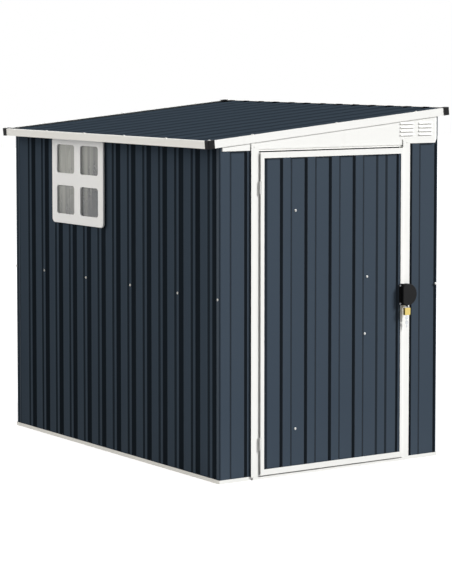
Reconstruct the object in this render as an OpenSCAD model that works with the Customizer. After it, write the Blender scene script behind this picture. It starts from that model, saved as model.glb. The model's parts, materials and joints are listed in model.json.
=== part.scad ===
// Lean-to garden shed of ribbed sheet steel, with a hinged door,
// a four-pane window and a roof that falls to one side.

/* [Body] */
// Width over the base rails, from the low side to the high side
body_w = 1300; // [1200:10:1800]
// Depth over the base rails, from the door face to the back
body_d = 1946; // [1700:1:2600]
// Height of the roof's low edge
eave_h = 1592; // [1590:1:1900]
// Fall of the roof in degrees
roof_slope = 5.4; // [4:0.1:9]
// Roof overhang past the low side
eave_over = 65; // [45:1:100]
// Roof overhang past the high side
ridge_over = 53; // [45:1:100]
// Roof overhang past the front and back
verge_over = 8; // [8:1:14]

/* [Sheet and ribs] */
// Thickness of the folded sheet
sheet_t = 1.2; // [1:0.1:1.5]
// Distance from one rib to the next
rib_pitch = 142.3; // [120:0.1:150]
// Depth of a rib
rib_h = 7; // [4:0.5:8]
// Sloping flank of a rib on the front, back, door and roof
rib_flank = 10; // [6:1:12]
// Sloping flank of a rib on the two sides
side_flank = 22; // [10:1:23]
// Flat top of the ribs on the front, back and door
front_rib_w = 47; // [30:1:56]
// Flat top of the ribs on the two sides
side_rib_w = 28; // [24:1:30]
// First rib of a side wall, measured from the front
side_rib_start = 72.5; // [70:0.5:80]
// First rib of the front's low end, measured from its corner
low_rib_start = 37; // [28:1:37]
// First full rib of the front's high end, measured from its corner
high_rib_start = 142.5; // [130:0.5:150]
// Depth of the narrow valleys between the roof sheet's flats
valley_h = 8; // [5:0.5:9]
// Centre of the first roof valley, measured from the front
valley_start = 138; // [60:1:150]
// Flat bottom of a roof valley
valley_w = 26; // [20:1:50]

/* [Base rails] */
// Height of the base rails
rail_h = 18; // [15:1:30]
// Width of the base rail's channel
rail_w = 14; // [13:1:20]
// Height of the door sill
sill_h = 13; // [10:1:14]

/* [Door] */
// Low side of the door opening, measured from the low corner
door_x = 217; // [200:1:230]
// Width of the door leaf
leaf_w = 844; // [700:1:860]
// Height of the door leaf
leaf_h = 1514; // [1200:1:1516]
// Thickness of the door leaf
leaf_t = 20; // [18:1:24]
// How far the closed leaf stands out past the base rails
leaf_proud = 14; // [12:1:18]
// Running gap round the leaf
leaf_gap = 5.5; // [5.2:0.1:8]
// Face of the leaf's frame at its top and bottom
stile_w = 27; // [20:1:40]
// Face of the frame at the hinge side
hinge_stile_w = 20; // [15:1:40]
// Bare face of the frame at the latch side
latch_stile_w = 13; // [10:1:20]
// Width of a door post
post_w = 43; // [35:1:60]
// How far the posts stand out past the base rails
post_proud = 6; // [5:1:7]
// Lip of the frame that the leaf closes towards
stop_w = 10; // [6:1:14]

/* [Hinges] */
// Height of one hinge
hinge_h = 60; // [45:1:90]
// Centre of the lower hinge above the ground
hinge_low_z = 168; // [120:1:300]
// Centre of the upper hinge below the top of the leaf
hinge_drop = 164; // [110:1:300]
// Radius of the hinge barrel
barrel_r = 4; // [3.5:0.1:4.5]
// Radius of the hinge pin
pin_r = 2; // [1.5:0.1:2.2]
// Running clearance round the pin
pin_play = 0.1; // [0.05:0.01:0.2]

/* [Window] */
// Width of the window frame, along the wall
window_w = 511; // [400:1:700]
// Height of the window frame
window_h = 442; // [360:1:442]
// Front edge of the window frame, measured from the door face
window_y = 1026; // [300:1:1100]
// Bottom of the window frame above the ground
window_z = 1122; // [900:1:1122]
// Frame width at the sides of the panes
window_side = 50; // [30:1:70]
// Frame width below the panes
window_low_edge = 48.5; // [30:0.5:60]
// Frame width above the panes
window_top_edge = 38.5; // [30:0.5:60]
// Width of the upright bar between the panes
window_bar = 59; // [20:1:80]
// Height of the crossbar between the panes
window_crossbar = 63; // [20:1:80]
// How far the window frame stands out past the base rails
window_proud = 6; // [3:1:10]

/* [Roof edge] */
// Height of the white edge trims
trim_h = 36; // [30:1:50]
// Width of a trim's top lip on the roof
trim_lip = 16; // [10:1:25]
// Length of a corner cap's arm
cap_arm = 31; // [25:1:45]
// Wall of a corner cap
cap_t = 2; // [1.8:0.1:3.5]
// How far a corner cap reaches below the trims
cap_drop = 1; // [0.5:0.5:5]

/* [Gable boards] */
// Bottom of the gable boards above the ground
board_z = 1549; // [1546:1:1560]
// Step of the front board's lower edge behind each door post
board_step = 5.5; // [1:0.5:6]
// Distance from a gable board's end to the corner
board_end = 14; // [10:1:30]
// Width of the strip that is bent back at a board's high end
board_bend = 12; // [8:1:20]
// Width of the strip that is bent back at its low end
board_low_bend = 4; // [3:1:12]
// Height of the cut-off corner at a board's high end
board_cut = 20; // [10:1:26]
// Louvres in one column
louvre_n = 4; // [2:1:5]
// Length of a louvre
louvre_w = 82; // [50:1:84]
// Distance from one louvre to the next
louvre_pitch = 18.5; // [15:0.5:20]

/* [Latch and padlock] */
// Height of the latch's centre
latch_z = 820; // [700:1:950]
// Radius of the round grip
grip_r = 53; // [45:1:60]
// Radius of the corners at the grip's straight edge
grip_corner_r = 20; // [8:1:30]
// Depth of the grip
grip_t = 20; // [16:1:28]
// Thickness of the latch's back plate
plate_t = 3; // [2:0.5:5]
// Width of the padlock
lock_w = 34; // [30:1:40]
// Height of the padlock's body
lock_h = 35; // [30:1:45]
// Thickness of the padlock
lock_t = 15; // [12:1:18]
// Radius of the shackle's rod
shackle_r = 2.5; // [2:0.1:3]

/* [Inner frame] */
// Leg of the inner corner posts
angle_leg = 30; // [20:1:40]
// Height of the middle rails
mid_rail_z = 859; // [700:1:1000]
// Width of the inner rails' face
inner_rail_w = 40; // [25:1:60]
// Depth of the inner rails
inner_rail_d = 22; // [15:1:30]
// Roof beams under the sheet
beam_n = 2; // [1:1:3]

/* [Hidden] */
$fn = 48;
STEEL = "#48525d";
SHADE_STEEL = "#3c454f";
WHITE = "#f2f2ef";
BLACK = "#232323";
BRASS = "#cdb35c";
SILVER = "#c9ccd0";
GLASS = [0.75, 0.79, 0.82, 0.45];

fit = 0.3;                              // seat clearance between two pieces
rail_t = 1.5;                           // thickness of the base rails
rib_in = rail_t + fit + 0.2;            // rib tops, inside the rails' outer faces
pan_in = rib_in + rib_h;                // flats between the ribs
back_in = pan_in + sheet_t;             // inner face of the wall sheets
bend_r = 8;                             // outer radius of a folded wall corner
lap_in = pan_in - fit - sheet_t;        // outer face of the lap at a corner
lap_slant = rib_in + 15;                // where a corner's side strip starts to slant in to its lap
lap_start = lap_slant + 8;
lap_end = side_rib_start - side_rib_w / 2 - side_flank - 1;
end_flat = rib_in + bend_r + 4;         // where the ribs of the end sheets may begin
back_rib_end = body_w - low_rib_start - front_rib_w - 2 * rib_flank - 10;  // beside the last rib
wall_z = rail_t + fit;                  // bottom of the wall sheets

// Roof frame: u runs up the slope from the low edge, w stands square to the roof
roof_len = (body_w + eave_over + ridge_over) / cos(roof_slope);
sheet_top_w = -sheet_t - fit;           // rib tops of the roof sheet
sheet_low_w = sheet_top_w - valley_h - sheet_t;
under_w = sheet_low_w - fit;            // where beams and rails meet the roof

// Height of a line that lies w below the roof's top plane, above a point of the width
function roof_z(x, w) = eave_h + (x + eave_over) * tan(roof_slope) + w / cos(roof_slope);

// Door
leaf_x = door_x + leaf_gap;
leaf_end = leaf_x + leaf_w;
opening_end = leaf_end + leaf_gap;
leaf_y = -leaf_proud;
leaf_back = leaf_y + leaf_t;
leaf_z = sill_h + leaf_gap + 1.5;
leaf_top = leaf_z + leaf_h;
header_z = leaf_top + leaf_gap;
post_back = leaf_back + leaf_gap + sheet_t + 0.5;
post_top = min(board_z + 28, roof_z(door_x - post_w, -trim_h) - 2);
hinge_high_z = leaf_top - hinge_drop;
sheet_top = post_top - 4;               // top of the front sheets behind the gable board
ear_w = 36;                             // width of their corners that run on up to the roof
hinge_x = door_x + leaf_gap / 2;
hinge_y = leaf_y + 2;
knuckle_gap = 0.4;                      // play between two knuckles
hinge_plate_t = 1.5;
panel_y = leaf_y + sheet_t + fit + 0.5; // rib tops of the door sheet
panel_pan = panel_y + rib_h;
board_y = -2;                           // face of the gable boards
rail_end = door_x - post_w + 10;        // end of the low front rail, behind the post
high_rail_end = opening_end + post_w - 10;

// Latch
plate_x = leaf_end - 22;
grip_x = leaf_end - 13;                 // straight edge of the grip
grip_flat = 32;                         // from the straight edge to the round part's centre
grip_front = leaf_y - plate_t - grip_t;
grip_low = latch_z - grip_r;
lock_x = grip_x + 27;
lock_y = leaf_y - plate_t - 6 - lock_t / 2;
lock_top = grip_low - 12;

// Outline of the whole shed: the roof's corner caps, and the grip or padlock at the front
cap_out = cap_t + fit;
low_x = -eave_over - cap_out * (cos(roof_slope) + sin(roof_slope));
high_x = body_w + ridge_over + cap_out * cos(roof_slope) + (trim_h + cap_drop) * sin(roof_slope);
front_y = min(grip_front, lock_y - lock_t / 2);
back_y = body_d + verge_over + cap_out;

// Place of the shed in its own frame: origin under the middle of that outline
shift_x = -(low_x + high_x) / 2;
shift_y = -(front_y + back_y) / 2;

// ---- Folded sheet -------------------------------------------------------

function unit(v) = v / norm(v);
function left_of(d) = [-d[1], d[0]];
function flip(path) = [for (i = [len(path) - 1:-1:0]) path[i]];

// The same path moved sideways by t, with mitred corners
function beside(path, t) =
    let (last = len(path) - 1)
    [for (i = [0:last])
        let (before = unit(path[max(i, 1)] - path[max(i, 1) - 1]),
             after = unit(path[min(i, last - 1) + 1] - path[min(i, last - 1)]),
             m = left_of(before) + left_of(after))
        path[i] + m * 2 * t / (m * m)];

// A sheet of thickness t on the left of its path; a negative t lies on the right
module folded(path, t, length) {
    linear_extrude(length) polygon(concat(path, flip(beside(path, t))));
}

// Rise of a ribbed line at s
function rise(s, centres, top, h, flank) =
    max([for (c = centres) h * max(0, min(1, (top / 2 + flank - abs(s - c)) / flank))]);

// Ribbed line from a to b: points [along, rise]
function ribbed(a, b, centres, top, h, flank = rib_flank) = concat(
    [[a, rise(a, centres, top, h, flank)]],
    [for (c = centres)
        for (p = [[c - top / 2 - flank, 0], [c - top / 2, h], [c + top / 2, h], [c + top / 2 + flank, 0]])
            if (p[0] > a + 0.5 && p[0] < b - 0.5) p],
    [[b, rise(b, centres, top, h, flank)]]);

// Rib centres from the first one up to a limit
function rib_row(first, limit) = [for (c = first; c <= limit; c = c + rib_pitch) c];

// ---- Placing ------------------------------------------------------------

module shed() {
    translate([shift_x, shift_y, 0]) children();
}

module on_roof() {
    translate([-eave_over, 0, eave_h]) rotate([0, -roof_slope, 0]) children();
}

// Extrudes a profile drawn as [y, z] along +X
module along_x(x, length) {
    translate([x, 0, 0]) rotate([90, 0, 90]) linear_extrude(length) children();
}

// Extrudes a profile drawn as [x, z] along +Y
module along_y(y, length) {
    translate([0, y + length, 0]) rotate([90, 0, 0]) linear_extrude(length) children();
}

module rounded_rect(w, h, r) {
    translate([r, 0]) square([w - 2 * r, h]);
    translate([0, r]) square([w, h - 2 * r]);
    for (x = [r, w - r], y = [r, h - r]) translate([x, y]) circle(r);
}

module box(low, high) {
    translate(low) cube(high - low);
}

// ---- Base ---------------------------------------------------------------

module rail_profile() {
    polygon([[0, 0], [rail_w, 0], [rail_w, rail_h], [rail_w - rail_t, rail_h], [rail_w - rail_t, rail_t],
        [rail_t, rail_t], [rail_t, rail_h], [0, rail_h]]);
}

// Side rail: its inner flange stops short of the front and back sheets
module side_rail() {
    difference() {
        along_y(0, body_d) rail_profile();
        for (y = [-1, body_d - rail_w])
            box([rail_t + 1, y, rail_t], [rail_w + 1, y + rail_w + 1, rail_h + 1]);
    }
}

module base_rail_left() {
    color(WHITE) shed() side_rail();
}

module base_rail_right() {
    color(WHITE) shed() translate([body_w, 0, 0]) mirror([1, 0, 0]) side_rail();
}

// Face of a front or back rail carried on to the side rail at the low corner
module rail_return() {
    box([rail_t + fit, 0, rail_t + fit], [rail_w + 1, rail_t, rail_h]);
}

module high_rail_return() {
    translate([body_w, 0, 0]) mirror([1, 0, 0]) rail_return();
}

module base_rail_back() {
    color(WHITE) shed() translate([0, body_d, 0]) mirror([0, 1, 0]) {
        along_x(rail_w, body_w - 2 * rail_w) rail_profile();
        rail_return();
        high_rail_return();
    }
}

module base_rail_front() {
    color(WHITE) shed() {
        along_x(rail_w, rail_end - rail_w) rail_profile();
        rail_return();
        along_x(high_rail_end, body_w - high_rail_end - rail_w) rail_profile();
        high_rail_return();
    }
}

// Folded sill with closed ends
module door_sill() {
    x0 = rail_end + fit;
    x1 = high_rail_end - fit;
    color(WHITE) shed() {
        along_x(x0, x1 - x0)
            polygon([[-post_proud, 0], [post_back, 0], [post_back, sill_h], [post_back - rail_t, sill_h],
                [post_back - rail_t, rail_t], [rail_t - post_proud, rail_t],
                [rail_t - post_proud, sill_h - rail_t], [post_back - 2 * rail_t, sill_h - rail_t],
                [post_back - 2 * rail_t, sill_h], [-post_proud, sill_h]]);
        for (x = [x0, x1 - rail_t]) box([x, -post_proud, 0], [x + rail_t, post_back, sill_h]);
    }
}

// ---- Walls --------------------------------------------------------------

// Folded corner, from the lap on the side wall round to the front face
corner_path = concat(
    [[lap_in, lap_end], [lap_in, lap_start], [rib_in, lap_slant]],
    [for (a = [180:18:270]) [rib_in + bend_r, rib_in + bend_r] + bend_r * [cos(a), sin(a)]]);

// Front sheet seen from its own corner: x runs away from the corner, y into the shed
function corner_sheet(start, centres, reach) = concat(
    corner_path,
    [for (p = ribbed(start, reach, centres, front_rib_w, rib_h)) [p[0], pan_in - p[1]]]);

// All that lies below the roof, to cut the tops of the end sheets to its slope
module under_roof() {
    along_y(-1, body_d + 2) polygon([[0, 0], [body_w, 0], [body_w, roof_z(body_w, under_w)],
        [0, roof_z(0, under_w)]]);
}

// The sheet's edge hides inside the door post and stands on the sill there.
// Its top is open behind the louvres: only the corner runs on up to the roof.
module front_sheet(start, centres, reach) {
    difference() {
        translate([0, 0, wall_z]) folded(corner_sheet(start, centres, reach), sheet_t, roof_z(body_w, 0));
        box([reach - post_w, 0, 0], [reach + 1, back_in + 1, sill_h + fit]);
        box([ear_w, 0, sheet_top], [reach + 1, back_in + 1, roof_z(body_w, 0) + wall_z + 1]);
    }
}

module front_wall_low() {
    color(STEEL) shed() intersection() {
        front_sheet(end_flat, rib_row(low_rib_start, door_x + rib_pitch), door_x - 2 * sheet_t);
        under_roof();
    }
}

// The strip at the high corner is narrow: its flank follows the corner's bend
module front_wall_high() {
    start = rib_in + bend_r + 0.5;
    reach = body_w - opening_end - 2 * sheet_t;
    centres = concat([start - front_rib_w / 2], rib_row(high_rib_start, reach + rib_pitch));
    color(STEEL) shed() intersection() {
        translate([body_w, 0, 0]) mirror([1, 0, 0]) front_sheet(start, centres, reach);
        under_roof();
    }
}

module back_wall() {
    line = ribbed(end_flat, body_w - end_flat,
        concat(rib_row(low_rib_start, back_rib_end), [body_w - low_rib_start]), front_rib_w, rib_h);
    path = concat(corner_path, [for (p = line) [p[0], pan_in - p[1]]],
        flip([for (p = corner_path) [body_w - p[0], p[1]]]));
    color(SHADE_STEEL) shed() intersection() {
        translate([0, body_d, wall_z]) mirror([0, 1, 0]) folded(path, sheet_t, roof_z(body_w, 0));
        under_roof();
    }
}

// Side sheet between the front and back sheets: x runs outward
module side_sheet(height) {
    line = ribbed(back_in + fit, body_d - back_in - fit,
        rib_row(side_rib_start, body_d - side_rib_start), side_rib_w, rib_h, side_flank);
    folded([for (p = line) [pan_in - p[1], p[0]]], -sheet_t, height);
}

module window_hole(grow) {
    translate([0, window_y - grow, window_z - grow]) rotate([90, 0, 90])
        translate([0, 0, -20]) linear_extrude(60)
            rounded_rect(window_w + 2 * grow, window_h + 2 * grow, 22);
}

module left_wall() {
    color(SHADE_STEEL) shed() difference() {
        translate([0, 0, wall_z]) side_sheet(roof_z(rib_in, under_w) - wall_z);
        window_hole(-16);
    }
}

module right_wall() {
    color(SHADE_STEEL) shed() translate([body_w, 0, wall_z]) mirror([1, 0, 0])
        side_sheet(roof_z(body_w - back_in, under_w) - wall_z);
}

// ---- Front frame --------------------------------------------------------

// Post for the opening's low side: the wall sheet slides in from the left
module post_profile() {
    folded_outline = [[door_x - post_w, -post_proud], [door_x, -post_proud], [door_x, post_back - sheet_t],
        [door_x + stop_w, post_back - sheet_t], [door_x + stop_w, post_back], [door_x - post_w / 2, post_back],
        [door_x - post_w / 2, post_back - sheet_t], [door_x - sheet_t, post_back - sheet_t],
        [door_x - sheet_t, sheet_t - post_proud], [door_x - post_w, sheet_t - post_proud]];
    polygon(folded_outline);
}

module post() {
    difference() {
        translate([0, 0, sill_h + fit]) linear_extrude(post_top - sill_h - fit) post_profile();
        box([door_x - post_w - 1, sheet_t - post_proud, header_z],
            [door_x + stop_w + 1, post_back + 1, post_top + 1]);
    }
}

module door_post_left() {
    color(WHITE) shed() post();
}

module door_post_right() {
    color(WHITE) shed() translate([door_x + opening_end, 0, 0]) mirror([1, 0, 0]) post();
}

// Channel over the opening, standing on the webs of the two posts
module door_header() {
    z0 = header_z + fit;
    color(WHITE) shed() along_x(door_x - sheet_t, opening_end - door_x + 2 * sheet_t)
        polygon([[rib_in, z0], [post_back, z0], [post_back, sheet_top], [post_back - sheet_t, sheet_top],
            [post_back - sheet_t, z0 + sheet_t], [rib_in + sheet_t, z0 + sheet_t],
            [rib_in + sheet_t, sheet_top], [rib_in, sheet_top]]);
}

board_seat = rib_in - fit;              // inner side of a board where it lies on the wall
board_high = body_w - board_end;

board_joints = [door_x - post_w / 2, opening_end + post_w / 2];

module board_outline(step) {
    polygon([[board_end, board_z - step], [board_joints[0], board_z - step], [board_joints[0], board_z],
        [board_joints[1], board_z], [board_joints[1], board_z + step],
        [board_high - board_cut / 2, board_z + step], [board_high, board_z + step + board_cut],
        [board_high, roof_z(board_high, under_w - 1)], [board_end, roof_z(board_end, under_w - 1)]]);
}

// Lower edge of a board, turned in to the wall
module board_hem(x0, x1, z) {
    box([x0, board_y + sheet_t / 2, z], [x1, board_seat, z + sheet_t]);
}

// Gable board: a flat face, both ends bent back to the wall, and its lower edge turned in
module gable_board(step) {
    back_set = board_seat - sheet_t;
    section = [[board_end, back_set], [board_end + board_low_bend, board_y],
        [board_high - board_bend, board_y], [board_high, back_set]];
    intersection() {
        translate([0, 0, board_z - step]) folded(section, sheet_t, eave_h);
        along_y(board_y - 1, board_seat - board_y + 2) board_outline(step);
    }
    board_hem(board_end + board_low_bend, board_joints[0], board_z - step);
    board_hem(board_joints[0], board_joints[1], board_z);
    board_hem(board_joints[1], board_high - board_bend, board_z + step);
}

louvre_h = 8;                           // height of a louvre's mouth
louvre_out = 5;                         // how far its hood stands out
hood_t = 1;                             // thickness of the hood
louvre_x = [body_w - 244, body_w - 128];
louvre_z = roof_z(louvre_x[0], -trim_h) - (louvre_n - 1) * louvre_pitch - louvre_h - 5;

module louvre_mouth() {
    box([hood_t, board_y - 1, 0], [louvre_w - hood_t, board_y + sheet_t + 1, louvre_h]);
}

module louvre_hood() {
    lip = [board_y - louvre_out, 0];
    root = [board_y + sheet_t / 2, louvre_h + 2 * hood_t];
    side = [root, lip + [0, hood_t], lip];
    along_x(0, louvre_w) polygon(concat(side, [lip + [hood_t, 0], root - [0, 1.6 * hood_t]]));
    for (x = [0, louvre_w - hood_t]) along_x(x, hood_t) polygon(concat(side, [[root[0], 0]]));
}

module louvres() {
    for (x = louvre_x, i = [0:louvre_n - 1]) translate([x, 0, louvre_z + i * louvre_pitch]) children();
}

module gable_board_front() {
    color(WHITE) shed() {
        difference() {
            gable_board(board_step);
            louvres() louvre_mouth();
        }
        louvres() louvre_hood();
    }
}

module gable_board_back() {
    color(WHITE) shed() translate([0, body_d, 0]) mirror([0, 1, 0]) gable_board(0);
}

// ---- Inner frame --------------------------------------------------------

module corner_angle(height) {
    linear_extrude(height) polygon([[0, 0], [angle_leg, 0], [angle_leg, sheet_t], [sheet_t, sheet_t],
        [sheet_t, angle_leg], [0, angle_leg]]);
}

module corner_posts() {
    inset = rail_w + fit;
    low_h = roof_z(inset, under_w - inner_rail_w) - fit;
    high_h = roof_z(body_w - inset - angle_leg, under_w - inner_rail_w) - fit;
    color(SHADE_STEEL) shed() {
        translate([inset, inset, 0]) corner_angle(low_h);
        translate([inset, body_d - inset, 0]) mirror([0, 1, 0]) corner_angle(low_h);
        translate([body_w - inset, inset, 0]) mirror([1, 0, 0]) corner_angle(high_h);
        translate([body_w - inset, body_d - inset, 0]) mirror([1, 0, 0]) mirror([0, 1, 0]) corner_angle(high_h);
    }
}

// Hat rail: its feet lie on the sheet, its crown faces the room; drawn as [in, along the face]
module hat_profile(d, w) {
    foot = 8;
    polygon([[0, 0], [0, foot + sheet_t], [d - sheet_t, foot + sheet_t], [d - sheet_t, w - foot - sheet_t],
        [0, w - foot - sheet_t], [0, w], [sheet_t, w], [sheet_t, w - foot], [d, w - foot], [d, foot],
        [sheet_t, foot], [sheet_t, 0]]);
}

module middle_rails() {
    ends = rail_w + 2 * fit + angle_leg;
    z0 = mid_rail_z - inner_rail_w / 2;
    inner = back_in + fit;
    color(SHADE_STEEL) shed() {
        along_y(ends, body_d - 2 * ends) translate([inner, z0]) hat_profile(inner_rail_d, inner_rail_w);
        along_y(ends, body_d - 2 * ends) translate([body_w - inner, z0]) mirror([1, 0])
            hat_profile(inner_rail_d, inner_rail_w);
        along_x(ends, body_w - 2 * ends) translate([body_d - inner, z0]) mirror([1, 0])
            hat_profile(inner_rail_d, inner_rail_w);
    }
}

module top_rail_low() {
    inner = back_in + fit;
    z1 = roof_z(inner, under_w);
    color(SHADE_STEEL) shed() along_y(inner + inner_rail_d + fit, body_d - 2 * (inner + inner_rail_d + fit))
        translate([inner, z1 - inner_rail_w]) hat_profile(inner_rail_d, inner_rail_w);
}

module top_rail_high() {
    inner = back_in + fit;
    z1 = roof_z(body_w - inner - inner_rail_d, under_w);
    color(SHADE_STEEL) shed() along_y(inner + inner_rail_d + fit, body_d - 2 * (inner + inner_rail_d + fit))
        translate([body_w - inner, z1 - inner_rail_w]) mirror([1, 0]) hat_profile(inner_rail_d, inner_rail_w);
}

// Channel under the roof along a gable, from wall to wall
module gable_rail() {
    x0 = back_in + fit;
    x1 = body_w - back_in - fit;
    y0 = post_back + fit;
    top = [[x0, roof_z(x0, under_w)], [x1, roof_z(x1, under_w)]];
    low = [[x1, roof_z(x1, under_w - inner_rail_w)], [x0, roof_z(x0, under_w - inner_rail_w)]];
    along_y(y0, sheet_t) polygon(concat(top, low));
    along_y(y0, inner_rail_d - y0 + back_in) polygon(concat(top,
        [[x1, roof_z(x1, under_w - sheet_t)], [x0, roof_z(x0, under_w - sheet_t)]]));
}

module gable_rail_front() {
    color(SHADE_STEEL) shed() gable_rail();
}

module gable_rail_back() {
    color(SHADE_STEEL) shed() translate([0, body_d, 0]) mirror([0, 1, 0]) gable_rail();
}

module roof_beams() {
    y0 = back_in + inner_rail_d + 2 * fit;
    color(SHADE_STEEL) shed() on_roof() for (i = [1:beam_n])
        translate([i * roof_len / (beam_n + 1), 0, under_w]) along_y(y0, body_d - 2 * y0)
            rotate(-90) translate([0, -inner_rail_w / 2]) hat_profile(inner_rail_d, inner_rail_w);
}

// ---- Roof ---------------------------------------------------------------

// Behind the last valley the sheet stays low up to its back edge
module roof_sheet() {
    edge = verge_over - sheet_t - fit;
    valleys = rib_row(valley_start, body_d - valley_w - rib_flank);
    last = valleys[len(valleys) - 1];
    line = concat(ribbed(-edge, last, valleys, valley_w, valley_h), [[body_d + edge, valley_h]]);
    color(STEEL) shed() on_roof() translate([sheet_t + fit, 0, sheet_top_w]) rotate([90, 0, 90])
        folded([for (p = line) [p[0], -p[1]]], -sheet_t, roof_len - 2 * (sheet_t + fit));
}

// Edge trim drawn from its outer face: lip on the roof, face, and a small turn at the bottom
module trim_profile() {
    polygon([[0, 0], [trim_lip, 0], [trim_lip, -sheet_t], [sheet_t, -sheet_t], [sheet_t, sheet_t - trim_h],
        [5, sheet_t - trim_h], [5, -trim_h], [0, -trim_h]]);
}

// Trim along a side of the roof, between the faces of the two rake trims
module side_trim() {
    ends = sheet_t + fit - verge_over;
    along_y(ends, body_d - 2 * ends) trim_profile();
}

module eave_trim() {
    color(WHITE) shed() on_roof() side_trim();
}

module high_trim() {
    color(WHITE) shed() on_roof() translate([roof_len, 0, 0]) mirror([1, 0, 0]) side_trim();
}

module rake_trim() {
    inset = trim_lip + fit;
    on_roof() difference() {
        along_x(sheet_t + fit, roof_len - 2 * (sheet_t + fit)) translate([-verge_over, 0]) trim_profile();
        for (x = [0, roof_len - inset]) box([x - 1, fit + sheet_t - verge_over, -trim_h - 1],
            [x + inset + (x == 0 ? 0 : 1), trim_lip + 1, 1]);
    }
}

module rake_trim_front() {
    color(WHITE) shed() rake_trim();
}

module rake_trim_back() {
    color(WHITE) shed() translate([0, body_d, 0]) mirror([0, 1, 0]) rake_trim();
}

// Plan of a corner cap, rounded at the roof's corner
module cap_plan(r) {
    side = cap_arm + cap_out;
    translate([r, 0]) square([side - r, side]);
    translate([0, r]) square([side, side - r]);
    translate([r, r]) circle(r);
}

// Cap over the two trims at a corner of the roof, in the roof's frame
module corner_cap() {
    drop = trim_h + cap_drop;
    translate([0, -verge_over, 0]) difference() {
        translate([-cap_out, -cap_out, -drop]) linear_extrude(drop + cap_out) cap_plan(1.5 * cap_t);
        box([-fit, -fit, -drop - 1], [cap_arm + 1, cap_arm + 1, fit]);
    }
}

module corner_caps() {
    color(BLACK) shed() on_roof() {
        corner_cap();
        translate([0, body_d, 0]) mirror([0, 1, 0]) corner_cap();
        translate([roof_len, 0, 0]) mirror([1, 0, 0]) corner_cap();
        translate([roof_len, body_d, 0]) mirror([1, 0, 0]) mirror([0, 1, 0]) corner_cap();
    }
}

// ---- Window -------------------------------------------------------------

frame_r = 24;                           // corner radius of the window frame
pane_r = 16;                            // corner radius of its panes
ring_in = 18;                           // inner ring behind the sheet, from the frame's edge
ring_t = 3;                             // wall of that ring
ring_depth = 14;
glass_t = 3;
pane_w = (window_w - 2 * window_side - window_bar) / 2;
pane_h = (window_h - window_low_edge - window_top_edge - window_crossbar) / 2;

module panes() {
    for (y = [window_side, window_side + pane_w + window_bar])
        for (z = [window_low_edge, window_low_edge + pane_h + window_crossbar])
            translate([y, z]) rounded_rect(pane_w, pane_h, pane_r);
}

// The frame's outline, smaller by an even margin
module frame_outline(margin, r) {
    translate([margin, margin]) rounded_rect(window_w - 2 * margin, window_h - 2 * margin, r);
}

module in_window(x, depth) {
    translate([x, window_y, window_z]) rotate([90, 0, 90]) linear_extrude(depth) children();
}

module window_frame() {
    face_t = window_proud + rib_in - fit;
    bevel = 2;
    color(WHITE) shed() {
        difference() {
            hull() {
                in_window(bevel - window_proud, face_t - bevel) frame_outline(0, frame_r);
                in_window(-window_proud, bevel) frame_outline(bevel, frame_r - bevel);
            }
            in_window(-window_proud - 1, face_t + 2) panes();
        }
        in_window(face_t - window_proud, ring_depth) difference() {
            frame_outline(ring_in, frame_r - 4);
            frame_outline(ring_in + ring_t, frame_r - 4 - ring_t);
        }
    }
}

module window_glass() {
    face_t = window_proud + rib_in - fit;
    color(GLASS) shed() in_window(face_t - window_proud + fit, glass_t)
        frame_outline(ring_in + ring_t + fit, frame_r - 4 - ring_t - fit);
}

// ---- Hinges -------------------------------------------------------------

knuckle_h = (hinge_h - 2 * knuckle_gap) / 3;

module at_hinges() {
    for (z = [hinge_low_z, hinge_high_z]) translate([hinge_x, hinge_y, z - hinge_h / 2]) children();
}

module hinge_plates_fixed() {
    plate_end = leaf_back - 4 - hinge_y;
    color(WHITE) shed() at_hinges() {
        for (z = [0, hinge_h - knuckle_h]) translate([0, 0, z]) {
            cylinder(r = barrel_r, h = knuckle_h);
            box([-leaf_gap / 2 + 0.2, 0, 0], [-leaf_gap / 2 + 0.2 + hinge_plate_t, barrel_r + 3, knuckle_h]);
        }
        cylinder(r = pin_r, h = hinge_h);
        box([-leaf_gap / 2 + 0.2, barrel_r + 1, 0], [-leaf_gap / 2 + 0.2 + hinge_plate_t, plate_end, hinge_h]);
    }
}

module hinge_plates_leaf() {
    plate_end = leaf_back - 4 - hinge_y;
    z0 = knuckle_h + knuckle_gap;
    color(WHITE) shed() at_hinges() {
        difference() {
            union() {
                translate([0, 0, z0]) cylinder(r = barrel_r, h = knuckle_h);
                box([leaf_gap / 2 - 0.2 - hinge_plate_t, 0, z0], [leaf_gap / 2 - 0.2, barrel_r + 3, z0 + knuckle_h]);
            }
            translate([0, 0, z0 - 1]) cylinder(r = pin_r + pin_play, h = knuckle_h + 2);
        }
        box([leaf_gap / 2 - 0.2 - hinge_plate_t, barrel_r + 1, 0], [leaf_gap / 2 - 0.2, plate_end, hinge_h]);
    }
}

// ---- Door leaf ----------------------------------------------------------

module leaf_window(left, right, edge, y0, y1) {
    box([leaf_x + left, y0, leaf_z + edge], [leaf_end - right, y1, leaf_top - edge]);
}

module door_frame() {
    color(WHITE) shed() difference() {
        box([leaf_x, leaf_y, leaf_z], [leaf_end, leaf_back, leaf_top]);
        leaf_window(hinge_stile_w, latch_stile_w, stile_w, leaf_y - 1, leaf_y + sheet_t + 1);
        leaf_window(sheet_t, sheet_t, sheet_t, leaf_y + sheet_t, leaf_back - sheet_t);
        leaf_window(stile_w, stile_w, stile_w, leaf_back - sheet_t - 1, leaf_back + 1);
        for (z = [hinge_low_z, hinge_high_z])
            box([leaf_x - 1, leaf_y - 1, z - hinge_h / 2 - 1],
                [leaf_x + 3, hinge_y + barrel_r + 2, z + hinge_h / 2 + 1]);
    }
}

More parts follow.
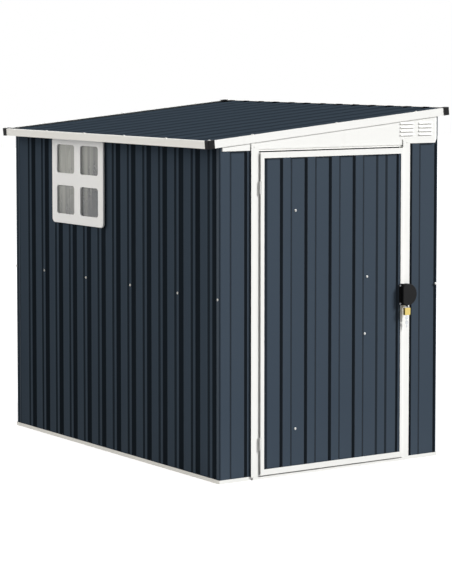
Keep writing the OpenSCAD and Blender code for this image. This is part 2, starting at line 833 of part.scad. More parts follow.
module door_panel() {
    x0 = leaf_x + 6;
    x1 = leaf_end - sheet_t - fit;
    centres = concat(rib_row(leaf_x + 150, leaf_end - 80 - front_rib_w), [leaf_end - 2]);
    z0 = leaf_z + sheet_t + fit;
    color(STEEL) shed() translate([0, 0, z0])
        folded([for (p = ribbed(x0, x1, centres, front_rib_w, rib_h)) [p[0], panel_pan - p[1]]],
            sheet_t, leaf_h - 2 * (sheet_t + fit));
}

// Two flat bars on the inside that meet at the latch
module brace(from, to) {
    run = to - from;
    half = 15 * left_of(unit(run));
    along_y(panel_pan + sheet_t + fit, leaf_back - sheet_t - fit - panel_pan - sheet_t - fit)
        polygon([from + half, from - half, to - half, to + half]);
}

module door_braces() {
    x0 = leaf_x + 30;
    x1 = leaf_end - 34;
    color(SHADE_STEEL) shed() {
        brace([x0, leaf_top - 110], [x1, latch_z + 16]);
        brace([x0, leaf_z + 40], [x1, latch_z - 24]);
    }
}

// ---- Latch and padlock --------------------------------------------------

module latch_plate() {
    color(BLACK) shed() translate([plate_x, leaf_y - fit, latch_z - grip_r]) rotate([90, 0, 0])
        linear_extrude(plate_t - fit) rounded_rect(leaf_end - plate_x, 2 * grip_r, 5);
}

// Outline of the grip, straight on the door's side and round towards the post
module grip_outline(inset) {
    intersection() {
        translate([grip_x + inset, latch_z - grip_r + inset])
            rounded_rect(3 * grip_r, 2 * (grip_r - inset), grip_corner_r - inset);
        union() {
            translate([grip_x, latch_z - grip_r]) square([grip_flat, 2 * grip_r]);
            translate([grip_x + grip_flat, latch_z]) circle(grip_r - inset, $fn = 64);
        }
    }
}

eye_t = 4;                              // thickness of the eye that the shackle hangs in
eye_z = grip_low - 4;                   // centre of the eye's hole
bow_r = 10;                             // radius of the shackle's bow

module latch_grip() {
    bevel = 2.5;
    color(BLACK) shed() difference() {
        union() {
            along_y(grip_front + bevel, grip_t - bevel) grip_outline(0);
            hull() {
                along_y(grip_front + bevel, 1) grip_outline(0);
                along_y(grip_front, 1) grip_outline(bevel);
            }
            box([lock_x - eye_t / 2, lock_y - 6, lock_top + 2.5], [lock_x + eye_t / 2, lock_y + 6, grip_low + 2]);
        }
        translate([lock_x - eye_t / 2 - 1, lock_y, eye_z]) rotate([0, 90, 0])
            cylinder(r = shackle_r + 0.9, h = eye_t + 2);
    }
}

module lock_face(inset) {
    translate([lock_x - lock_w / 2 + inset, lock_top - lock_h + inset])
        rounded_rect(lock_w - 2 * inset, lock_h - 2 * inset, 3);
}

// Body with a slightly smaller front and back, two shackle holes and the keyway below
module padlock_body() {
    bevel = 1;
    front = lock_y - lock_t / 2;
    color(BRASS) shed() difference() {
        union() {
            along_y(front, lock_t) lock_face(bevel);
            along_y(front + bevel, lock_t - 2 * bevel) lock_face(0);
        }
        for (side = [-1, 1]) translate([lock_x + side * bow_r, lock_y, lock_top - 12])
            cylinder(r = shackle_r + 0.1, h = 13);
        box([lock_x - key_w / 2 - 0.5, lock_y - key_t / 2 - 0.2, lock_top - lock_h - 1],
            [lock_x + key_w / 2 + 0.5, lock_y + key_t / 2 + 0.2, lock_top - lock_h + 12]);
    }
}

module padlock_shackle() {
    bow_z = eye_z - bow_r + 0.6;
    foot_z = lock_top - 11.5;
    color(SILVER) shed() translate([lock_x, lock_y, 0]) {
        for (side = [-1, 1]) translate([side * bow_r, 0, foot_z]) cylinder(r = shackle_r, h = bow_z - foot_z);
        translate([0, 0, bow_z]) rotate([90, 0, 0])
            rotate_extrude(angle = 180) translate([bow_r, 0]) circle(shackle_r);
    }
}

// ---- Keys: one in the lock, its spare hanging from a ring ---------------

key_t = 1.6;
key_w = 6;
key_r = 9;                              // radius of a key's bow
key_hole = 5;                           // distance of its hole from the bow's centre
key_eye = 2.2;                          // radius of that hole
key_len = 24;
ring_r = 6.3;
ring_wire = 0.8;
key_hang = key_eye - ring_wire - fit;   // how far the ring and the spare hang down in the holes

// A key with its blade up, drawn round the centre of its bow
module key() {
    translate([0, key_t / 2, 0]) rotate([90, 0, 0]) linear_extrude(key_t) difference() {
        union() {
            circle(key_r);
            translate([-key_w / 2, 0]) square([key_w, key_len]);
        }
        translate([0, -key_hole]) circle(key_eye);
    }
}

module padlock_keys() {
    bow_z = lock_top - lock_h - key_r - 3;
    ring_z = bow_z - key_hole - ring_r - key_hang;
    spare_z = ring_z - ring_r - key_hole - key_hang;
    color(SILVER) shed() translate([lock_x, lock_y, 0]) {
        translate([0, 0, bow_z]) key();
        translate([0, 0, ring_z]) rotate([0, 90, 0])
            rotate_extrude() translate([ring_r, 0]) circle(ring_wire, $fn = 24);
        translate([0, 0, spare_z]) rotate([0, 180, 0]) key();
    }
}

// ---- Nodes --------------------------------------------------------------

base_rail_left();
base_rail_right();
base_rail_back();
base_rail_front();
door_sill();
left_wall();
right_wall();
back_wall();
front_wall_low();
front_wall_high();
door_post_left();
door_post_right();
door_header();
gable_board_front();
gable_board_back();
corner_posts();
middle_rails();
top_rail_low();
top_rail_high();
gable_rail_front();
gable_rail_back();
roof_beams();
roof_sheet();
eave_trim();
high_trim();
rake_trim_front();
rake_trim_back();
corner_caps();
window_frame();
window_glass();
hinge_plates_fixed();
hinge_plates_leaf();
door_frame();
door_panel();
door_braces();
latch_plate();
latch_grip();
padlock_body();
padlock_shackle();
padlock_keys();
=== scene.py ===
"""Finish, small fasteners, lights and camera for a lean-to metal garden shed."""

import json
import math

import bmesh
import bpy
from mathutils import Matrix, Vector


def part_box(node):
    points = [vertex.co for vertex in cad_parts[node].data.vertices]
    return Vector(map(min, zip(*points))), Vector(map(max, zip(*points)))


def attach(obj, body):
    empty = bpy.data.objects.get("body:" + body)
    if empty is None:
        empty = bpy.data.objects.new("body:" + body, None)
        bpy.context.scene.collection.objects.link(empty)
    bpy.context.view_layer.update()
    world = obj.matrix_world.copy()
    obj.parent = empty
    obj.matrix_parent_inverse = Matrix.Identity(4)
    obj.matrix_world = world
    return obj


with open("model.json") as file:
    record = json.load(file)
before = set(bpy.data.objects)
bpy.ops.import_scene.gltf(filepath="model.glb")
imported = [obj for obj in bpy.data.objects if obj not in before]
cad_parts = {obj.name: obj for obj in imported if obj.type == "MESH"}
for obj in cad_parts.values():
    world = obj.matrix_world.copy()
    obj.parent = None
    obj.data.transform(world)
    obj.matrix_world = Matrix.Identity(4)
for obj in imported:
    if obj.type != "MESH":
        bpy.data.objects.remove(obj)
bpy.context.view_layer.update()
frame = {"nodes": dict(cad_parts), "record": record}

# ---- Places, all from the frame ----------------------------------------------

MM = 0.001
CORNER = Vector(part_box("base_rail_left")[0])  # front corner of the base, on the low side
BASE_HIGH = Vector(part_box("base_rail_right")[1])
BODY_W = BASE_HIGH.x - CORNER.x
BODY_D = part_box("base_rail_left")[1][1] - CORNER.y

RIB_PITCH = 142.3 * MM
RIB_FLANK = 10 * MM
SIDE_FLANK = 22 * MM
FRONT_RIB_TOP = 47 * MM
SIDE_RIB_TOP = 28 * MM
SIDE_RIB_START = 72.5 * MM
LOW_RIB_START = 37 * MM
HIGH_RIB_START = 142.5 * MM
DOOR_RIB_START = 150 * MM
ROOF_VALLEY = 26 * MM
ROOF_VALLEY_START = 138 * MM
RIB_FACE = 2 * MM  # rib tops lie this far inside the base rails' outer faces
ROOF_SLOPE = math.radians(5.4)
EAVE_OVER = 65 * MM
RIDGE_OVER = 53 * MM
ROOF_LEN = (BODY_W + EAVE_OVER + RIDGE_OVER) / math.cos(ROOF_SLOPE)
EAVE_HEIGHT = 1592 * MM
MID_ROW = 859 * MM  # height of the row of screws round the walls

LEFT = Vector((-1, 0, 0))
RIGHT = Vector((1, 0, 0))
FRONT = Vector((0, -1, 0))
BACK = Vector((0, 1, 0))


def at(x, y, z):
    """A point measured from the base's front corner on the low side, in millimetres."""
    return CORNER + Vector((x, y, z)) * MM


def on_roof(u, y, w):
    """A point u up the roof from its low edge and w above its top plane, in millimetres."""
    run = Vector((u * math.cos(ROOF_SLOPE) - w * math.sin(ROOF_SLOPE), 0,
                  u * math.sin(ROOF_SLOPE) + w * math.cos(ROOF_SLOPE)))
    start = Vector((CORNER.x - EAVE_OVER, CORNER.y + y * MM, EAVE_HEIGHT))
    return start + run * MM


ROOF_UP = Vector((-math.sin(ROOF_SLOPE), 0, math.cos(ROOF_SLOPE)))

# ---- Shader maths --------------------------------------------------------------


class Value:
    """A shader socket that takes part in sums and products like a number."""

    def __init__(self, finish, socket):
        self.finish = finish
        self.socket = socket

    def _maths(self, operation, a, b):
        return self.finish.add("ShaderNodeMath", {"operation": operation}, {0: a, 1: b})

    def __add__(self, other):
        return self._maths("ADD", self, other)

    def __radd__(self, other):
        return self._maths("ADD", other, self)

    def __sub__(self, other):
        return self._maths("SUBTRACT", self, other)

    def __rsub__(self, other):
        return self._maths("SUBTRACT", other, self)

    def __mul__(self, other):
        return self._maths("MULTIPLY", self, other)

    def __rmul__(self, other):
        return self._maths("MULTIPLY", other, self)

    def __truediv__(self, other):
        return self._maths("DIVIDE", self, other)

    def size(self):
        return self.finish.add("ShaderNodeMath", {"operation": "ABSOLUTE"}, {0: self})

    def nearest(self):
        return self.finish.add("ShaderNodeMath", {"operation": "ROUND"}, {0: self})

    def under(self, limit):
        return self._maths("LESS_THAN", self, limit)


class Finish:
    """One material, built node by node round a Principled shader."""

    def __init__(self, name):
        self.material = bpy.data.materials.new(name)
        self.material.use_nodes = True
        self.tree = self.material.node_tree
        self.shader = self.tree.nodes["Principled BSDF"]

    def add(self, kind, settings, sockets, output=0):
        node = self.tree.nodes.new(kind)
        for key, value in settings.items():
            if key == "stops":
                self._set_stops(node.color_ramp, value)
            else:
                setattr(node, key, value)
        self.plug(node, sockets)
        return Value(self, node.outputs[output])

    def _set_stops(self, ramp, stops):
        while len(ramp.elements) < len(stops):
            ramp.elements.new(0.5)
        for element, (place, level) in zip(ramp.elements, stops):
            element.position = place
            element.color = (level, level, level, 1)

    def plug(self, node, sockets):
        for key, value in sockets.items():
            if isinstance(value, Value):
                self.tree.links.new(value.socket, node.inputs[key])
            else:
                node.inputs[key].default_value = value

    def place(self, scale=(1, 1, 1)):
        here = self.add("ShaderNodeTexCoord", {}, {}, "Object")
        return self.add("ShaderNodeMapping", {}, {"Vector": here, "Scale": scale})

    def across(self, axis):
        here = self.add("ShaderNodeTexCoord", {}, {}, "Object")
        return self.add("ShaderNodeSeparateXYZ", {}, {"Vector": here}, axis)

    def height(self):
        return self.across("Z")

    def noise(self, scale, detail=3, stretch=(1, 1, 1)):
        return self.add("ShaderNodeTexNoise", {}, {
            "Vector": self.place(stretch), "Scale": scale, "Detail": detail})

    def ramp(self, value, *stops):
        return self.add("ShaderNodeValToRGB", {"stops": stops}, {"Fac": value})

    def mix(self, amount, first, second):
        return self.add("ShaderNodeMix", {"data_type": "RGBA"}, {
            "Factor": amount, 6: first, 7: second}, 2)

    def bump(self, height, strength, distance):
        return self.add("ShaderNodeBump", {}, {
            "Height": height, "Strength": strength, "Distance": distance})

    def shade(self, **sockets):
        self.plug(self.shader, {key.replace("_", " "): value for key, value in sockets.items()})
        return self.material


def rgb(red, green, blue):
    """A colour picked on screen, as the shader's linear values."""
    def linear(level):
        level = level / 255
        return level / 12.92 if level <= 0.04045 else ((level + 0.055) / 1.055) ** 2.4
    return (linear(red), linear(green), linear(blue), 1)


# ---- Finishes ------------------------------------------------------------------


def painted_sheet(name, colour, dust_and_light_tone, gloss, folds=None, fold_shade=0.0, painted_top_light=0.0):
    """Satin coil-coated steel: fine orange peel, faint rain streaks and a little dust low down.

    folds is (axis, first rib, flat top, flank, from, to, odd fold) of a ribbed sheet, along whose
    folds fine dark lines of painted shade lie; the odd fold lies off the even row, at the sheet's edge.
    The last argument is how much paler each metre of height is painted, a painted light where the sun
    reaches the sheet.
    """
    f = Finish(name)
    cloud = f.noise(2.2, 4)
    streak = f.noise(9, 5, (1, 1, 0.06))
    peel = f.noise(420, 2)
    speck = f.ramp(f.noise(160, 3), (0.62, 0), (0.75, 1))
    low = f.ramp(f.height(), (0.02, 1), (0.32, 0))
    pale = cloud * 0.5 + streak * 0.5
    # dust low down and random tone, plus painted light that makes the sheet paler higher up
    dust_and_top_light = pale * 0.16 + low * streak * 0.22 + speck * 0.05 + f.height() * painted_top_light
    tone = f.mix(dust_and_top_light, colour, dust_and_light_tone)
    if folds:
        axis, first, top, flank, start, stop, odd = folds
        place = f.across(axis)
        along = (place - first) / RIB_PITCH
        off = (along - along.nearest()).size() * RIB_PITCH
        row = ((off - (top / 2 + flank * 0.5)).size() / (flank * 0.7)).under(1)
        inside = (place - (start + stop) / 2).size().under((stop - start) / 2)
        line = row * inside + ((place - odd).size() / (flank * 0.4)).under(1)
        # painted shade: near-black lines along the folds, where the ribs' flanks fall into shade
        tone = f.mix(line * (fold_shade + streak * 0.2), tone, rgb(18, 23, 28))
    return f.shade(
        Base_Color=tone,
        Roughness=0.36 + pale * 0.12 + low * 0.06,
        Normal=f.bump(peel * 0.5 + streak * 0.5, 0.12, 0.0006),
        Specular_IOR_Level=gloss,
    )


def white_steel():
    """Smooth white enamel on folded trims, with faint handling marks."""
    f = Finish("white_steel")
    cloud = f.noise(3, 4)
    scuff = f.ramp(f.noise(38, 4, (1, 1, 0.25)), (0.6, 0), (0.72, 1))
    peel = f.noise(520, 2)
    low = f.ramp(f.height(), (0.0, 1), (0.09, 0))
    marks = cloud * 0.25 + scuff * 0.12 + low * cloud * 0.5
    return f.shade(
        Base_Color=f.mix(marks, rgb(242, 242, 239), rgb(222, 221, 216)),
        Roughness=0.34 + cloud * 0.14,
        Normal=f.bump(peel, 0.1, 0.0004),
        Specular_IOR_Level=0.25,
    )


def window_plastic():
    f = Finish("window_plastic")
    cloud = f.noise(5, 3)
    grain = f.noise(900, 2)
    return f.shade(
        Base_Color=f.mix(cloud * 0.3, rgb(239, 240, 241), rgb(226, 227, 228)),
        Roughness=0.36 + cloud * 0.1,
        Normal=f.bump(grain, 0.12, 0.0003),
        Specular_IOR_Level=0.4,
    )


def window_pane():
    """Hazy clear sheet with run marks, with painted light making it paler towards the top and the back
    of the shed.
    """
    f = Finish("window_pane")
    low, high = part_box("window_glass")
    # painted light: the pane's tone made paler towards the top and the back of the shed
    painted_pane_light = (f.across("Y") - (low[1] + high[1]) / 2) * 2.3 + (f.height() - (low[2] + high[2]) / 2) * 2.5
    cloud = f.noise(6, 3)
    runs = f.ramp(f.noise(34, 2, (1, 1, 0.02)), (0.4, 0), (0.62, 1))
    return f.shade(
        Base_Color=f.mix(runs * 0.6 + cloud * 0.2 + 0.05 - painted_pane_light, rgb(204, 206, 201), rgb(135, 138, 142)),
        Roughness=0.22 + cloud * 0.1,
        Alpha=0.46 + cloud * 0.08 + runs * 0.05,
        Normal=f.bump(runs, 0.05, 0.0004),
    )


def black_plastic():
    f = Finish("black_plastic")
    grain = f.noise(700, 3)
    cloud = f.noise(14, 3)
    return f.shade(
        Base_Color=f.mix(cloud * 0.5, rgb(13, 13, 14), rgb(20, 20, 21)),
        Roughness=0.5 + cloud * 0.15,
        Normal=f.bump(grain, 0.35, 0.0004),
        Specular_IOR_Level=0.12,
    )


# Near-black matte finish for the pieces that stand for the shade in the valley ends
def valley_shade_black():
    f = Finish("valley_shade_black")
    pores = f.noise(1200, 3)
    return f.shade(
        Base_Color=f.mix(pores * 0.5, rgb(9, 9, 10), rgb(16, 16, 17)),
        Roughness=0.9 + pores * 0.05,
        Normal=f.bump(pores, 0.5, 0.0004),
        Specular_IOR_Level=0.0,
    )


def lock_brass():
    f = Finish("lock_brass")
    brushed = f.noise(180, 4, (0.04, 1, 1))
    cloud = f.noise(30, 3)
    return f.shade(
        Base_Color=f.mix(brushed * 0.4 + cloud * 0.3, rgb(216, 196, 122), rgb(172, 148, 80)),
        Metallic=0.9,
        Roughness=0.3 + brushed * 0.15,
        Normal=f.bump(brushed, 0.25, 0.0002),
    )


def bright_steel():
    f = Finish("bright_steel")
    brushed = f.noise(300, 3)
    return f.shade(
        Base_Color=f.mix(brushed * 0.4, rgb(212, 214, 217), rgb(178, 181, 186)),
        Metallic=0.95,
        Roughness=0.22 + brushed * 0.12,
        Normal=f.bump(brushed, 0.1, 0.0001),
    )


SLATE = rgb(55, 66, 78)
# paler slate for dust, and on the front sheets and the door also for painted light higher up
DUST_AND_LIGHT_SLATE = rgb(76, 86, 96)
# the slate paint made darker on the roof: painted shade
SHADED_ROOF_SLATE = rgb(51, 61, 71)
FINISHES = {
    "slate_steel": painted_sheet("slate_steel", SLATE, DUST_AND_LIGHT_SLATE, 0.1),
    "inner_steel": painted_sheet("inner_steel", rgb(58, 66, 75), DUST_AND_LIGHT_SLATE, 0.1),
    "white_steel": white_steel(),
    "window_plastic": window_plastic(),
    "window_pane": window_pane(),
    "black_plastic": black_plastic(),
    "lock_brass": lock_brass(),
    "bright_steel": bright_steel(),
}


def give_finish(piece, slot):
    piece.data.materials.clear()
    piece.data.materials.append(FINISHES[slot])


for subpart in frame["record"]["subparts"]:
    give_finish(frame["nodes"][subpart["node"]], subpart["material_slot"])
door_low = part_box("door_frame")[0][0]
door_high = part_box("door_frame")[1][0]
FOLD = FRONT_RIB_TOP / 2 + RIB_FLANK / 2  # from a front rib's middle to its fold
HEM = 20 * MM  # no fold lies nearer to the edge that a row of ribs starts from
START = CORNER.y + HEM
STOP = CORNER.y + BODY_D - 80 * MM
NONE = BASE_HIGH.x + 1  # off the shed, where a sheet has no odd fold
# Each ribbed sheet's row of ribs, with the reach of the shade painted along its folds
RIBBED = {
    "left_wall": ("Y", CORNER.y + SIDE_RIB_START, SIDE_RIB_TOP, SIDE_FLANK, START, STOP, NONE),
    "right_wall": ("Y", CORNER.y + SIDE_RIB_START, SIDE_RIB_TOP, SIDE_FLANK, START, STOP, NONE),
    "back_wall": ("X", CORNER.x + LOW_RIB_START, FRONT_RIB_TOP, RIB_FLANK, CORNER.x + HEM,
                  BASE_HIGH.x - 90 * MM, BASE_HIGH.x - LOW_RIB_START - FOLD),
    "front_wall_low": ("X", CORNER.x + LOW_RIB_START, FRONT_RIB_TOP, RIB_FLANK,
                       CORNER.x + HEM, door_low, NONE),
    "front_wall_high": ("X", BASE_HIGH.x - HIGH_RIB_START, FRONT_RIB_TOP, RIB_FLANK,
                        door_high, BASE_HIGH.x - 50 * MM, BASE_HIGH.x - 16.5 * MM),
    "door_panel": ("X", door_low + DOOR_RIB_START, FRONT_RIB_TOP, RIB_FLANK,
                   door_low, door_high - 60 * MM, door_high - 2 * MM - FOLD),
    "roof_sheet": ("Y", CORNER.y + ROOF_VALLEY_START, ROOF_VALLEY, RIB_FLANK, START, STOP, NONE),
}
DULL = ("left_wall", "right_wall", "roof_sheet")  # seen at a low angle, where a sheen turns them grey
for node, folds in RIBBED.items():
    # the sheets outside DULL also get painted light, paler higher up
    gloss, painted_top_light = (0.0, 0.0) if node in DULL else (0.06, 0.09)
    colour, fold_shade = (SHADED_ROOF_SLATE, 0.3) if node == "roof_sheet" else (SLATE, 0.7)
    sheet = painted_sheet(node + "_steel", colour, DUST_AND_LIGHT_SLATE, gloss, folds, fold_shade, painted_top_light)
    frame["nodes"][node].data.materials[0] = sheet

# ---- Modelling by hand ---------------------------------------------------------


def begin(add_primitive, **size):
    """Adds a primitive on its own and opens it for editing with nothing selected."""
    bpy.ops.object.select_all(action="DESELECT")
    add_primitive(**size)
    piece = bpy.context.active_object
    bpy.ops.object.mode_set(mode="EDIT")
    bpy.ops.mesh.select_all(action="DESELECT")
    return piece


def pick_faces(piece, wanted):
    """Selects the faces for which wanted(centre, normal) holds."""
    bpy.ops.mesh.select_mode(type="FACE")
    mesh = bmesh.from_edit_mesh(piece.data)
    for face in mesh.faces:
        face.select_set(bool(wanted(face.calc_center_median(), face.normal)))
    bmesh.update_edit_mesh(piece.data)


def extrude(offset):
    bpy.ops.mesh.extrude_region_move(TRANSFORM_OT_translate={"value": offset})


def end(piece, name, smooth_angle=40):
    bpy.ops.mesh.select_all(action="SELECT")
    bpy.ops.mesh.normals_make_consistent(inside=False)
    bpy.ops.object.mode_set(mode="OBJECT")
    bpy.ops.object.transform_apply(location=True, rotation=True, scale=True)
    bpy.ops.object.shade_smooth_by_angle(angle=math.radians(smooth_angle))
    piece.name = name
    return piece


def cut(piece, tool):
    """Cuts the tool's shape out of the piece and throws the tool away."""
    bpy.ops.object.select_all(action="DESELECT")
    piece.select_set(True)
    bpy.context.view_layer.objects.active = piece
    step = piece.modifiers.new("cut", "BOOLEAN")
    step.operation = "DIFFERENCE"
    step.solver = "EXACT"
    step.object = tool
    bpy.ops.object.modifier_apply(modifier=step.name)
    bpy.data.objects.remove(tool)


def facing(normal, turn=0.0):
    """Rotation that stands a piece modelled along +Z on a face with this normal."""
    return Vector(normal).to_track_quat("Z", "Y").to_matrix().to_4x4() @ Matrix.Rotation(turn, 4, "Z")


def join(pieces, name):
    bpy.ops.object.select_all(action="DESELECT")
    for piece in pieces:
        piece.select_set(True)
    bpy.context.view_layer.objects.active = pieces[0]
    bpy.ops.object.join()
    pieces[0].name = name
    return pieces[0]


def repeat(model, places, name):
    """One joined piece of copies of the model, each at (point, normal) with its own turn."""
    copies = []
    for number, (point, normal) in enumerate(places):
        copy = model.copy()
        copy.data = model.data.copy()
        copy.data.transform(Matrix.Translation(point) @ facing(normal, 0.9 * number))
        bpy.context.scene.collection.objects.link(copy)
        copies.append(copy)
    return join(copies, name)


def fit_out(piece, slot, body):
    give_finish(piece, slot)
    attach(piece, body)


# ---- Screws, rivets and blocks of painted shade --------------------------------

WALL_SCREW = {"radius": 4.6 * MM, "height": 2.6 * MM, "washer": 6 * MM}
ROOF_SCREW = {"radius": 5.6 * MM, "height": 3 * MM, "washer": 6.8 * MM}
LATCH_SCREW = {"radius": 3.6 * MM, "height": 2 * MM, "washer": 4.2 * MM}
SHADE_BLOCK = (13 * MM, ROOF_VALLEY + RIB_FLANK * 0.4, 9 * MM)
STRIP = 3.2 * MM  # side of the shade strip's square section


def pan_head_screw(radius, height, washer):
    """Pan-head screw on a washer, with a cross recess, standing on z = 0."""
    thick = 0.8 * MM
    piece = begin(bpy.ops.mesh.primitive_cylinder_add, vertices=24, radius=washer, depth=thick,
                  location=(0, 0, thick / 2))
    pick_faces(piece, lambda centre, normal: normal.z > 0.9)
    bpy.ops.mesh.inset(thickness=washer - radius)
    extrude((0, 0, height * 0.55))
    bpy.ops.mesh.inset(thickness=radius * 0.12)
    extrude((0, 0, height * 0.28))
    bpy.ops.mesh.inset(thickness=radius * 0.25)
    extrude((0, 0, height * 0.17))
    screw = end(piece, "screw", 35)
    for turn in (0, math.pi / 2):
        bpy.ops.object.select_all(action="DESELECT")
        bpy.ops.mesh.primitive_cube_add(size=1, location=(0, 0, thick + height))
        recess = bpy.context.active_object
        recess.data.transform(Matrix.Rotation(turn, 4, "Z") @ Matrix.Diagonal(
            (radius * 1.1, radius * 0.22, height * 1.1, 1)))
        cut(screw, recess)
    return screw


def blind_rivet(radius, height):
    """Domed rivet head standing on z = 0."""
    piece = begin(bpy.ops.mesh.primitive_cylinder_add, vertices=20, radius=radius, depth=height * 0.3,
                  location=(0, 0, height * 0.15))
    pick_faces(piece, lambda centre, normal: normal.z > 0.9)
    for inset, rise in ((0.12, 0.35), (0.2, 0.2), (0.25, 0.15)):
        bpy.ops.mesh.inset(thickness=radius * inset)
        extrude((0, 0, height * rise))
    return end(piece, "rivet", 50)


def valley_shade_block():
    """Black block that stands for the shade at a roof valley's end, lying along X with its top on z = 0.
    """
    depth = SHADE_BLOCK[2]
    piece = begin(bpy.ops.mesh.primitive_cube_add, size=1, location=(0, 0, -depth / 2))
    bpy.ops.mesh.select_all(action="SELECT")
    bpy.ops.transform.resize(value=SHADE_BLOCK, center_override=(0, 0, -depth / 2))
    bpy.ops.mesh.select_all(action="DESELECT")
    pick_faces(piece, lambda centre, normal: normal.z > 0.9)
    bpy.ops.transform.resize(value=(0.94, 1.5, 1), center_override=(0, 0, 0))
    bpy.ops.mesh.select_all(action="SELECT")
    bpy.ops.mesh.bevel(offset=1 * MM, segments=2)
    return end(piece, "plug", 40)


def shade_strip(length):
    """Thin black strip along Y that joins the blocks, standing for the shade under the high edge's lip,
    with its top on z = 0.
    """
    piece = begin(bpy.ops.mesh.primitive_cube_add, size=STRIP, location=(0, 0, -STRIP / 2))
    bpy.ops.mesh.select_all(action="SELECT")
    bpy.ops.transform.resize(value=(1, length / STRIP, 1), center_override=(0, 0, 0))
    bpy.ops.mesh.bevel(offset=0.5 * MM, segments=2)
    return end(piece, "strip", 40)


def fit_wall_screws():
    """The row of screws at half height, and those that hold the door's panel to its braces."""
    side_ribs = [SIDE_RIB_START + RIB_PITCH * k for k in (2, 5, 8, 11)]
    side_rows = [17 * MM] + side_ribs + [BODY_D - 9 * MM]
    face_low = CORNER.x + RIB_FACE
    face_high = BASE_HIGH.x - RIB_FACE
    width, depth, face, row = (length / MM for length in (BODY_W, BODY_D, RIB_FACE, MID_ROW))
    walls = [(Vector((face_low, CORNER.y + y, MID_ROW)), LEFT) for y in side_rows]
    walls += [(Vector((face_high, CORNER.y + y, MID_ROW)), RIGHT) for y in side_rows]
    walls += [(at(width - 13, face, row), FRONT)]
    walls += [(at(x, depth - face, row), BACK) for x in (37, 179, 606, 1033, width - 37)]
    screw = pan_head_screw(**WALL_SCREW)
    fit_out(repeat(screw, walls, "wall_screws"), "white_steel", "shed")

    valley_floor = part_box("door_panel")[1][1] - 1.2 * MM  # the panel's back, less its thickness
    door = [(Vector((CORNER.x + x * MM, valley_floor, z * MM)), FRONT)
            for x, z in ((427.5, 1256), (854, 919), (841, 643), (428, 221))]
    fit_out(repeat(screw, door, "door_screws"), "white_steel", "door")
    bpy.data.objects.remove(screw)


def fit_roof_screws():
    """Screws through the lips of the four trims and through the caps at the low side."""
    inset = 8  # from the roof's edge to a screw, in millimetres
    cap_top = 2.3
    roof_len = ROOF_LEN / MM
    depth = BODY_D / MM
    along = (366, 744, 1123, 1502)
    across = [(x + EAVE_OVER / MM) / math.cos(ROOF_SLOPE) for x in (184.5, 669.7, 1155)]
    places = [on_roof(inset, y, 0) for y in along]
    places += [on_roof(roof_len - inset, y, -1) for y in along]
    places += [on_roof(u, y, 0) for y in (0, depth) for u in across]
    places += [on_roof(9, y, cap_top) for y in (1, depth - 1)]
    screw = pan_head_screw(**ROOF_SCREW)
    fit_out(repeat(screw, [(place, ROOF_UP) for place in places], "roof_screws"), "white_steel", "shed")
    bpy.data.objects.remove(screw)


def fit_latch_screws():
    plate_low, plate_high = (Vector(corner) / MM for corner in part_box("latch_plate"))
    spots = [(plate_low.x + 6, plate_high.z - 9), (plate_low.x + 6, plate_low.z + 9)]
    places = [(Vector((x, plate_low.y, z)) * MM, FRONT) for x, z in spots]
    screw = pan_head_screw(**LATCH_SCREW)
    fit_out(repeat(screw, places, "latch_screws"), "bright_steel", "door")
    bpy.data.objects.remove(screw)


def fit_post_rivets():
    height = 1560 * MM
    rivet = blind_rivet(3.4 * MM, 2 * MM)
    post_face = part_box("door_post_left")[0][1]
    heads = [(Vector((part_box(post)[side][0] + inward * MM, post_face, height)), FRONT)
             for post, side, inward in (("door_post_left", 0, 18.5), ("door_post_right", 1, -18))]
    fit_out(repeat(rivet, heads, "post_rivets"), "white_steel", "shed")
    bpy.data.objects.remove(rivet)


def fit_valley_shade():
    """A black block in each roof valley under the high edge's lip, and the strip that joins them: dark
    pieces that stand for the shade there.
    """
    plug = valley_shade_block()
    turn = Matrix.Rotation(-ROOF_SLOPE, 4, "Y")
    roof_len = ROOF_LEN / MM
    depth = BODY_D / MM
    shade_blocks = []
    valley = ROOF_VALLEY_START / MM
    while valley < depth - 60:
        copy = plug.copy()
        copy.data = plug.data.copy()
        copy.data.transform(Matrix.Translation(on_roof(roof_len - 23, valley, 2.6)) @ turn)
        bpy.context.scene.collection.objects.link(copy)
        shade_blocks.append(copy)
        valley += RIB_PITCH / MM
    bpy.data.objects.remove(plug)
    strip = shade_strip(BODY_D - 20 * MM)
    strip.data.transform(Matrix.Translation(on_roof(roof_len - 18, depth / 2, 0.8)) @ turn)
    shade_blocks = join(shade_blocks + [strip], "valley_shade_blocks")
    fit_out(shade_blocks, "black_plastic", "shed")
    shade_blocks.data.materials[0] = valley_shade_black()


fit_wall_screws()
fit_roof_screws()
fit_latch_screws()
fit_post_rivets()
fit_valley_shade()

# ---- Stage, light and camera -------------------------------------------------------


def seen_directly(tree):
    """1 for what the camera, a reflection or a clear pane shows, 0 for light on the shed."""
    path = tree.nodes.new("ShaderNodeLightPath")
    either = path.outputs["Is Camera Ray"]
    for name in ("Is Glossy Ray", "Is Transmission Ray"):
        most = tree.nodes.new("ShaderNodeMath")
        most.operation = "MAXIMUM"
        tree.links.new(either, most.inputs[0])
        tree.links.new(path.outputs[name], most.inputs[1])
        either = most.outputs[0]
    return either


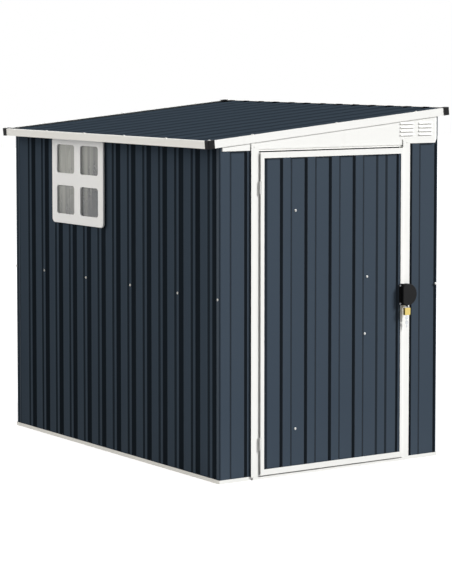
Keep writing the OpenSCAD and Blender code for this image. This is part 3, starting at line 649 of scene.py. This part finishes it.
def backdrop():
    """White world for the camera and reflections, a plain studio level for everything else."""
    world = bpy.data.worlds.new("studio")
    bpy.context.scene.world = world
    world.use_nodes = True
    tree = world.node_tree
    seen = tree.nodes["Background"]
    seen.inputs["Color"].default_value = (1, 1, 1, 1)
    seen.inputs["Strength"].default_value = 1.0
    fill = tree.nodes.new("ShaderNodeBackground")
    fill.inputs["Color"].default_value = (0.96, 0.98, 1, 1)
    fill.inputs["Strength"].default_value = 0.14
    mix = tree.nodes.new("ShaderNodeMixShader")
    tree.links.new(seen_directly(tree), mix.inputs["Fac"])
    tree.links.new(fill.outputs[0], mix.inputs[1])
    tree.links.new(seen.outputs[0], mix.inputs[2])
    tree.links.new(mix.outputs[0], tree.nodes["World Output"].inputs["Surface"])


def floor():
    piece = begin(bpy.ops.mesh.primitive_plane_add, size=60, location=(0, 0, 0))
    end(piece, "floor")
    f = Finish("floor")
    grain = f.noise(3, 2)
    seen = Value(f, seen_directly(f.tree))
    f.shade(
        Base_Color=f.mix(grain * 0.1, (0.42, 0.42, 0.42, 1), (0.4, 0.4, 0.4, 1)),
        Roughness=0.9 + grain * 0.02,
        Emission_Color=f.mix(seen, (0, 0, 0, 1), (1, 1, 1, 1)),
        Emission_Strength=0.86,
        Specular_IOR_Level=0.0,
    )
    piece.data.materials.append(f.material)


def lamp(name, azimuth, elevation, spread, level, colour, sheen):
    """Soft far lamp; azimuth 0 stands before the door, 90 at the high side. Without sheen it makes
    no highlights."""
    a = math.radians(azimuth)
    e = math.radians(elevation)
    away = Vector((math.sin(a) * math.cos(e), -math.cos(a) * math.cos(e), math.sin(e)))
    data = bpy.data.lights.new(name, "SUN")
    data.angle = math.radians(spread)
    data.energy = level * math.pi
    data.color = colour
    piece = bpy.data.objects.new(name, data)
    piece.location = away * 6
    piece.visible_glossy = sheen
    piece.rotation_euler = away.to_track_quat("Z", "Y").to_euler()
    bpy.context.scene.collection.objects.link(piece)


def camera():
    """Camera 2 m up, off the low front corner, 34 degrees round from the door."""
    look_down = 4.071
    look_right = 34.168
    data = bpy.data.cameras.new("camera")
    data.lens = 134.14
    data.sensor_width = 36
    data.shift_y = -0.15
    data.clip_end = 100
    piece = bpy.data.objects.new("camera", data)
    piece.location = at(-5567, -8255.1, 2009.9)
    piece.rotation_euler = (math.radians(90 - look_down), 0, math.radians(-look_right))
    bpy.context.scene.collection.objects.link(piece)
    bpy.context.scene.camera = piece


backdrop()
floor()
lamp("key", azimuth=52, elevation=30, spread=16, level=1.46, colour=(1, 1, 1), sheen=True)
lamp("rim", azimuth=-150, elevation=12, spread=60, level=1.3, colour=(1, 0.96, 0.9), sheen=False)
camera()
bpy.context.scene.view_settings.view_transform = "Standard"
